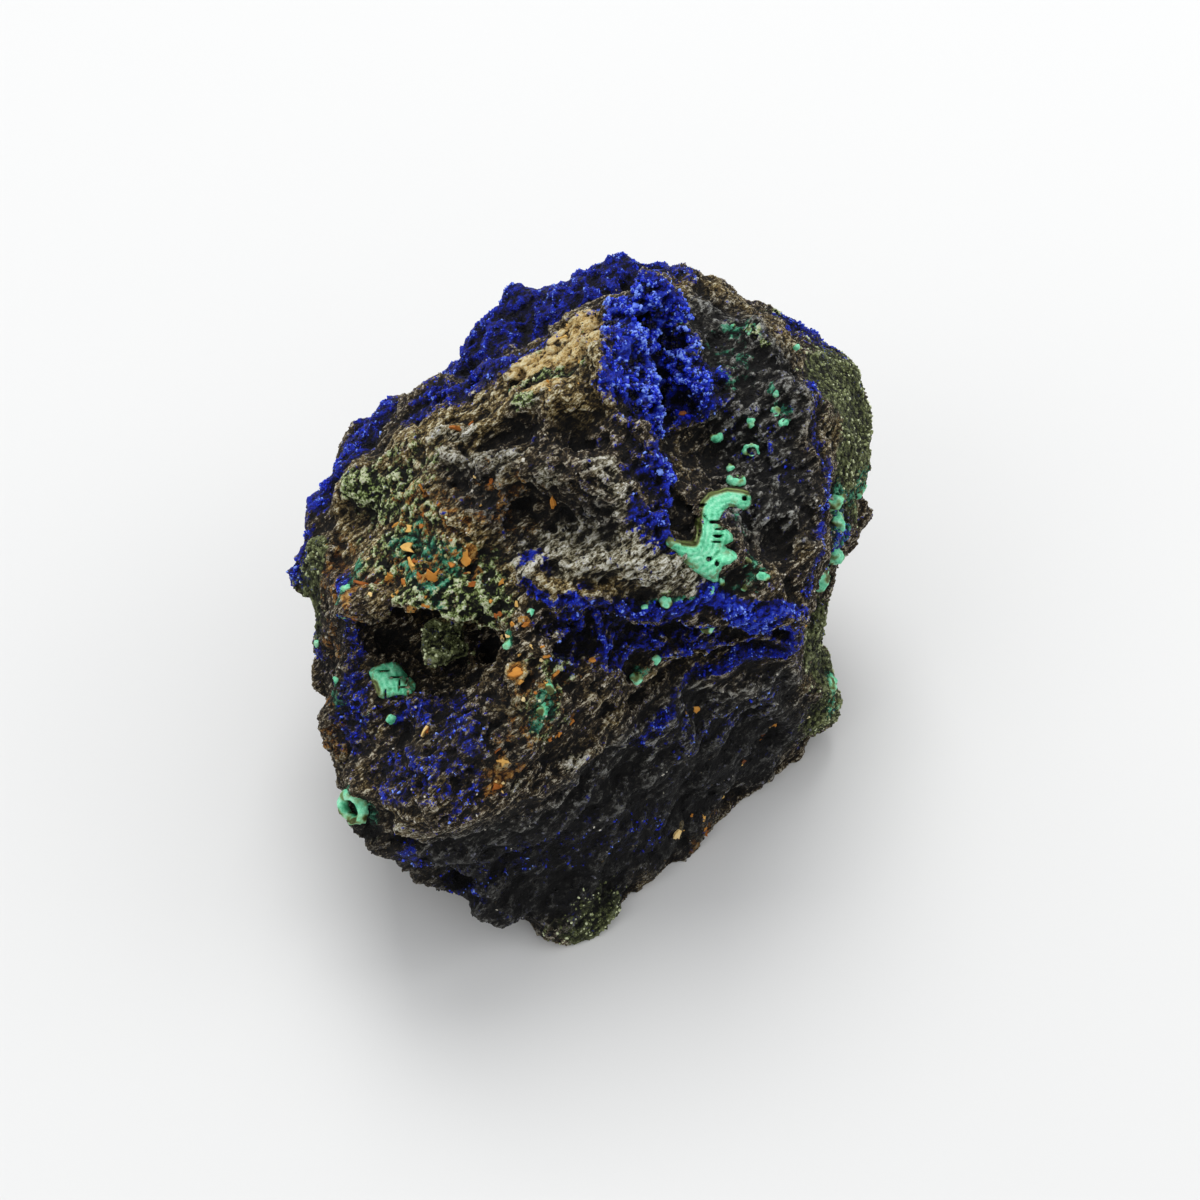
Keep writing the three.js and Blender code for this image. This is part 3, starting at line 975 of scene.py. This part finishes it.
chip = {
    "middle": (-31.3, -27.8, 44.5),
    "outline": [
        (-3.8, 1.9), (0.0, 3.1), (1.1, 2.6), (2.1, 1.1), (4.2, -0.6),
        (3.3, -2.4), (1.5, -1.9), (-1.4, -3.0), (-2.6, -0.6),
    ],
    "banded": [(-2.6, -0.6), (-2.2, -1.5)],
    "lift": 0.75,
    "slits": [
        ((0.9, 0.6), 1.1, 0.13), ((1.5, -0.5), 0.13, 1.2), ((2.5, -0.8), 0.9, 0.13), ((0.1, -1.2), 1.3, 0.13),
        ((2.6, 0.2), 0.13, 0.8), ((-0.6, -2.0), 0.13, 0.9), ((3.1, -1.6), 0.13, 0.8), ((-1.0, 1.6), 0.9, 0.12),
    ],
}


plates = {
    "facets": 0.24,
    "depth": 1.6,  # how far they reach into the stone
    "above": 14,  # the stone is looked for from this far out
}


def clumps(wave, shift, low, high):
    return smoothStep(noiseAt(rockPoints, wave, shift), low, high)


def isInside(outline, spots):
    crossings = np.zeros(len(spots), int)
    for a, b in zip(outline, np.roll(outline, -1, axis=0)):
        level = (a[1] > spots[:, 1]) != (b[1] > spots[:, 1])
        reach = a[0] + (spots[:, 1] - a[1]) * (b[0] - a[0]) / (b[1] - a[1] if b[1] != a[1] else 1e-9)
        crossings += level & (spots[:, 0] < reach)
    return crossings % 2 == 1


def freeOfPlates():
    free = np.ones(len(rockPoints))
    for plate in (ribbon, chip):
        away = rockPoints - np.array(plate["middle"], float)
        spots = np.column_stack([away @ np.array(slopeRight), away @ np.array(slopeUp)])
        close = np.abs(away @ np.array(slopeOut)) < 12
        free[isInside(np.array(plate["outline"], float) * 1.04, spots) & close] = 0
    free[np.linalg.norm(rockPoints - np.array(beads["vug"][0]), axis=1) < beads["vugMargin"]] = 0
    return free


def crystalFinish(name, stops, roughness, wave=0.6):
    finish = Finish(name)
    spot = finish.places()
    speck = finish.noise(spot, wave, 3)
    finish.set(
        Base_Color=finish.ramp(finish.painted("tone") + (speck - 0.5) * 0.35, stops),
        Roughness=roughness + speck * 0.25,
        Normal=finish.bump(speck, 0.15, 0.6),
    )
    return finish.material


grains = {
    "azuriteCount": 13500,
    "azuriteSizes": (0.16, 0.52),
    "crownSizes": (0.20, 0.85),
    "backSizes": (0.14, 0.42),
    "matrixCount": 8000,
    "matrixSizes": (0.15, 0.45),
    "darkCount": 4000,
    "darkSizes": (0.2, 0.55),
    "oliveCount": 6000,
    "oliveSizes": (0.22, 0.6),
    "lowest": 1.0,  # none are sown below this height
    "crown": [([(5, 12, 83), (12, 12, 80), (10, 4, 77), (12, -4, 74)], 7, 1.0)],
}
grainColours = {
    "azurite": [
        (0.05, (1, 1, 16)), (0.32, (3, 8, 76)), (0.58, (7, 32, 184)), (0.80, (24, 66, 226)), (0.97, (128, 158, 240)),
    ],
    "stoneChips": [
        (0.05, (10, 8, 6)), (0.35, (38, 31, 21)), (0.62, (86, 74, 50)),
        (0.84, (136, 126, 102)), (0.98, (206, 202, 190)),
    ],
    "darkChips": [
        (0.05, (5, 5, 6)), (0.45, (15, 14, 15)), (0.72, (32, 31, 33)), (0.90, (60, 60, 68)), (0.98, (112, 112, 122)),
    ],
    "oliveGrains": [
        (0.05, (22, 24, 12)), (0.35, (66, 71, 40)), (0.60, (108, 114, 74)),
        (0.80, (150, 158, 114)), (0.97, (200, 206, 170)),
    ],
}
azuriteBlade = cutGrain(0.75, 0.55, 1.1, 0.55)
stoneChip = cutGrain(1.0, 0.8, 0.55, 0.7)


def sowCrystals():
    blue = crystalFinish("azuriteCrystals", grainColours["azurite"], 0.36)
    bare = rockPoints[:, 2] * freeOfPlates() > grains["lowest"]
    clotted = clumps(2.4, 2.0, -0.30, 0.25) * clumps(0.9, 6.0, -0.30, 0.25)
    crusted = brush(rockPoints, [s for s in paint["azurite"] if (s[1] >= 5 and s[2] == 1.0) or s[2] == 0.9])
    azurite = np.clip(masks["azurite"] - 0.22, 0, 1) ** 1.4 * clotted * bare
    crown = brush(rockPoints, grains["crown"])
    behind = smoothStep(rockPoints[:, 1], 18, 24)
    parts = {
        "crownCrystals": (azurite * crown, grains["crownSizes"], 31),
        "backCrystals": (azurite * behind * (1 - crown) * (1 - 0.7 * crusted), grains["backSizes"], 32),
        "frontCrystals": (azurite * (1 - behind) * (1 - crown), grains["azuriteSizes"], 33),
    }
    for name, (weight, sizes, seed) in parts.items():
        piece = sowGrains(name, weight, grains["azuriteCount"], sizes, azuriteBlade, seed)
        finishPiece(piece, blue)

    plain = np.clip(1.1 - masks["azurite"] - masks["dark"] * 0.75 - masks["olive"], 0.02, 1)
    plain *= clumps(3.0, 4.0, -0.2, 0.35) * bare * (0.35 + masks["standing"])
    dark = masks["dark"] * clumps(2.2, 14.0, -0.2, 0.35) * bare
    olive = (masks["olive"] + 0.5 * np.clip(masks["green"] - 0.3, 0, 1)) * bare
    parts = {
        "stoneChips": (plain, grains["matrixCount"], grains["matrixSizes"], 41, "rock_matrix", 0.55),
        "darkChips": (dark, grains["darkCount"], grains["darkSizes"], 42, "rock_matrix", 0.42),
        "oliveGrains": (olive, grains["oliveCount"], grains["oliveSizes"], 43, "malachite", 0.6),
    }
    for name, (weight, count, sizes, seed, slotName, roughness) in parts.items():
        piece = sowGrains(name, weight, count, sizes, stoneChip, seed)
        finishPiece(piece, crystalFinish(name, grainColours[name], roughness))


sowCrystals()
print("crystals and chips sown")


def distanceTo(path, spots):
    gaps = []
    for start, end in zip(path[:-1], path[1:]):
        along = end - start
        t = np.clip((spots - start) @ along / max(along @ along, 1e-9), 0, 1)
        gaps.append(np.linalg.norm(spots - start - t[:, None] * along, axis=1))
    return np.min(gaps, axis=0)


def rounded(path, rounds=2):
    # Cuts the corners of a closed outline.
    for _ in range(rounds):
        after = np.roll(path, -1, axis=0)
        path = np.stack([path * 0.78 + after * 0.22, path * 0.22 + after * 0.78], axis=1).reshape(-1, 2)
    return path


def layPlate(name, plate):
    outline = rounded(np.array(plate["outline"], float))
    heart = Vector(plate["middle"])
    bpy.ops.mesh.primitive_circle_add(vertices=len(outline), radius=5 * mm, fill_type="NGON")
    piece = bpy.context.object
    piece.name = piece.data.name = name
    setPoints(piece, np.column_stack([outline, np.zeros(len(outline))]))
    activate(piece)
    bpy.ops.object.mode_set(mode="EDIT")
    bpy.ops.mesh.select_all(action="SELECT")
    bpy.ops.mesh.extrude_region_move(TRANSFORM_OT_translate={"value": (0, 0, 2 * mm)})
    bpy.ops.mesh.select_all(action="SELECT")
    bpy.ops.mesh.normals_make_consistent(inside=False)
    bpy.ops.object.mode_set(mode="OBJECT")
    applyModifier(piece, "REMESH", mode="VOXEL", voxel_size=plates["facets"] * mm)

    flat = pointsOf(piece)
    spots, level = flat[:, :2], np.clip(flat[:, 2] / 2, 0, 1)
    closed = np.vstack([outline, outline[:1]])
    inward = distanceTo(closed, spots)
    slit = np.zeros(len(flat))
    for place, long, wide in plate["slits"]:
        away = np.hypot((spots[:, 0] - place[0]) / long, (spots[:, 1] - place[1]) / wide)
        slit = np.maximum(slit, 1 - smoothStep(away, 0.6, 1.2))
    middles = np.array(heart) + spots[:, :1] * np.array(slopeRight) + spots[:, 1:] * np.array(slopeUp)
    ground = np.zeros(len(flat))
    for i, spot in enumerate(middles):
        heights = []
        for dx, dy in ((0, 0), (1, 0), (-1, 0), (0, 1), (0, -1)):
            start = Vector(spot) + slopeOut * plates["above"] + slopeRight * dx + slopeUp * dy
            hit = rockTree.ray_cast(start * mm, -slopeOut)
            if hit[3] is not None:
                heights.append(plates["above"] - hit[3] / mm)
        ground[i] = np.median(heights) if heights else 0
    ground = np.clip(ground, np.percentile(ground, 4), np.percentile(ground, 96))
    crown = plate["lift"] * (0.35 + 0.65 * smoothStep(inward, 0, 0.8)) - slit * 1.0
    crown += 0.14 * noiseAt(middles, 1.4)
    out = ground - plates["depth"] + level * (plates["depth"] + crown)
    setPoints(piece, middles + out[:, None] * np.array(slopeOut))
    storeOn(piece, "edge", inward)
    storeOn(piece, "band", distanceTo(np.array(plate["banded"], float), spots))
    storeOn(piece, "slit", slit)
    activate(piece)
    bpy.ops.object.shade_smooth_by_angle(angle=math.radians(50))
    return piece


malachiteColours = {
    "mint": [(0.34, (60, 152, 112)), (0.45, (104, 200, 156)), (0.57, (150, 226, 188)), (0.70, (206, 244, 222))],
    "olive": [(0.2, (66, 70, 30)), (0.5, (112, 124, 66)), (0.8, (140, 156, 96))],
}


def malachiteFinish():
    finish = Finish("bandedMalachite")
    spot = finish.places()
    band, edge, slit = (finish.painted(name) for name in ("band", "edge", "slit"))
    soft = finish.noise(spot, 2.2, 4)
    speck = finish.noise(spot, 0.45, 4, 0.7)
    # thin layers that follow the outer edge
    wobbled = band + (soft - 0.5) * 0.7
    rings = (wobbled * 7.5).math("SINE") * 0.5 + 0.5
    mint = finish.ramp(speck * 0.5 + soft * 0.4 + rings * 0.08, malachiteColours["mint"])
    olive = finish.ramp(rings * 0.6 + speck * 0.4, malachiteColours["olive"])
    body = finish.blend(1 - wobbled.step(0.75, 1.15), mint, olive)
    body = finish.blend(1 - wobbled.step(0.12, 0.34), body, tint(50, 34, 18))
    body = finish.blend((1 - edge.step(0.05, 0.45)) * speck.step(0.42, 0.6) * 0.8, body, tint(52, 58, 34))
    body = finish.blend((1 - edge.step(0.3, 1.5)) * soft.step(0.50, 0.58) * 0.85, body, tint(104, 112, 62))
    body = finish.blend(speck.step(0.61, 0.66) * 0.35, body, tint(40, 44, 26))
    # Painted shade: the shallow slits and holes are coloured near black.
    body = finish.blend(slit.step(0.3, 0.75), body, tint(10, 12, 8))
    height = speck * 0.6 + rings * 0.15
    finish.set(Base_Color=body, Roughness=0.42 + speck * 0.25, Normal=finish.bump(height, 0.3, 0.7))
    return finish.material


def squashOnto(piece, place, radii, chance, facing=None, sink=0.0):
    # Lays a shape made at the origin flat on the nearest part of the stone, unless it is told which way to face.
    spot = Vector(place)
    if facing is None:
        nearest, facing, _, _ = rockTree.find_nearest(spot * mm)
        spot = nearest / mm - facing * sink
    lean = Vector(facing).to_track_quat("Z", "Y").to_matrix().to_4x4()
    turn = lean @ Matrix.Rotation(chance.random() * 6.28, 4, "Z")
    piece.data.transform(Matrix.Translation(spot * mm) @ turn @ Matrix.Diagonal((*radii, 1)))


def joinPieces(pieces, name):
    activate(pieces[0])
    for piece in pieces:
        piece.select_set(True)
    bpy.ops.object.join()
    joined = bpy.context.object
    joined.name = joined.data.name = name
    return joined


def makeMalachite():
    material = malachiteFinish()
    for name, plate in (("malachiteRibbon", ribbon), ("malachiteChip", chip)):
        finishPiece(layPlate(name, plate), material)

    chance = np.random.default_rng(52)
    bumps = noiseTexture("beadBumps", "CLOUDS", 1.1, noise_depth=3)
    made = []
    for kind, flatness in (("spots", 0.55), ("lumps", 0.5)):
        for place, size in beads[kind]:
            bpy.ops.mesh.primitive_ico_sphere_add(subdivisions=4 if kind == "lumps" else 3, radius=mm)
            bead = bpy.context.object
            radii = (size, size * (0.6 + 0.35 * chance.random()), size * flatness)
            squashOnto(bead, place, radii, chance, sink=0.22 * size)
            made.append(bead)
    for place, size in [*beads["rings"], beads["vug"]]:
        bpy.ops.mesh.primitive_torus_add(
            major_radius=mm, minor_radius=beads["tube"] * mm, major_segments=32, minor_segments=12
        )
        ring = bpy.context.object
        facing = beads["vugFacing"] if place == beads["vug"][0] else None
        squashOnto(ring, place, (size, size * 0.82, size * 1.3), chance, facing)
        made.append(ring)
    piece = joinPieces(made, "malachiteBeads")
    applyModifier(piece, "DISPLACE", texture=bumps, strength=1.3 * mm, mid_level=0.5)
    spots = pointsOf(piece)
    storeOn(piece, "edge", np.full(len(spots), 2.0))
    storeOn(piece, "band", 1.1 + noiseAt(spots, 1.5) * 0.9)
    storeOn(piece, "slit", np.zeros(len(spots)))
    activate(piece)
    bpy.ops.object.shade_smooth()
    finishPiece(piece, material)


makeMalachite()
print("malachite laid")


def makeFlecks():
    chance = np.random.default_rng(61)
    near = brush(rockPoints, flecks["near"]) * clumps(2.5, 8.0, -0.1, 0.4)
    hosts = chance.choice(len(rockPoints), flecks["strewn"], p=near / near.sum())
    strewn = [(tuple(rockPoints[i]), 0.5 + 0.9 * chance.random() ** 2, chance.random()) for i in hosts]
    made = []
    for place, size, tone in flecks["places"] + strewn:
        bpy.ops.mesh.primitive_cylinder_add(vertices=flecks["corners"], radius=0.5 * mm, depth=mm)
        fleck = bpy.context.object
        outline = 1 + chance.normal(0, 0.48, flecks["corners"]).clip(-0.7, 0.8)
        points = pointsOf(fleck)
        points[:, :2] *= np.repeat(outline, 2)[:, None]
        setPoints(fleck, points)
        thickness = flecks["thickness"] * (0.8 + size * 0.35)
        squashOnto(fleck, place, (size * 0.9, size * (0.45 + 0.4 * chance.random()), thickness), chance)
        storeOn(fleck, "tone", np.full(len(points), tone))
        made.append(fleck)
    piece = joinPieces(made, "limoniteFlecks")
    applyModifier(piece, "BEVEL", width=0.03 * mm, segments=1, limit_method="ANGLE")
    rough = noiseTexture("fleckBumps", "CLOUDS", 0.8, noise_depth=1)
    applyModifier(piece, "DISPLACE", texture=rough, strength=0.5 * mm, mid_level=0.5)
    keepAbove(piece, 0.05)
    finishPiece(piece, crystalFinish("limonite", flecks["colours"], 0.7, 0.9))


makeFlecks()
print("limonite flecks laid")


def setStage():
    bpy.ops.mesh.primitive_plane_add(size=studio["floorSize"] * mm)
    floor = bpy.context.object
    floor.name = "paleFloor"
    floor.data.materials.append(Finish("paleSheet").set(Base_Color=studio["floor"], Roughness=0.85).material)
    for name, place, size, watts in studio["lamps"]:
        spot = Vector(place) * mm
        bpy.ops.object.light_add(type="AREA", location=spot)
        lamp = bpy.context.object
        lamp.name = name
        lamp.data.size = size * mm
        lamp.data.energy = watts
        lamp.rotation_euler = (middle - spot).to_track_quat("-Z", "Y").to_euler()
    world = bpy.data.worlds.new("studioRoom")
    world.use_nodes = True
    room = world.node_tree.nodes["Background"].inputs
    room["Color"].default_value = (*studio["world"], 1)
    room["Strength"].default_value = studio["worldStrength"]
    scene = bpy.context.scene
    scene.world = world
    scene.view_settings.view_transform = "Standard"
    scene.view_settings.look = "Medium High Contrast"


setStage()
print("stage set")
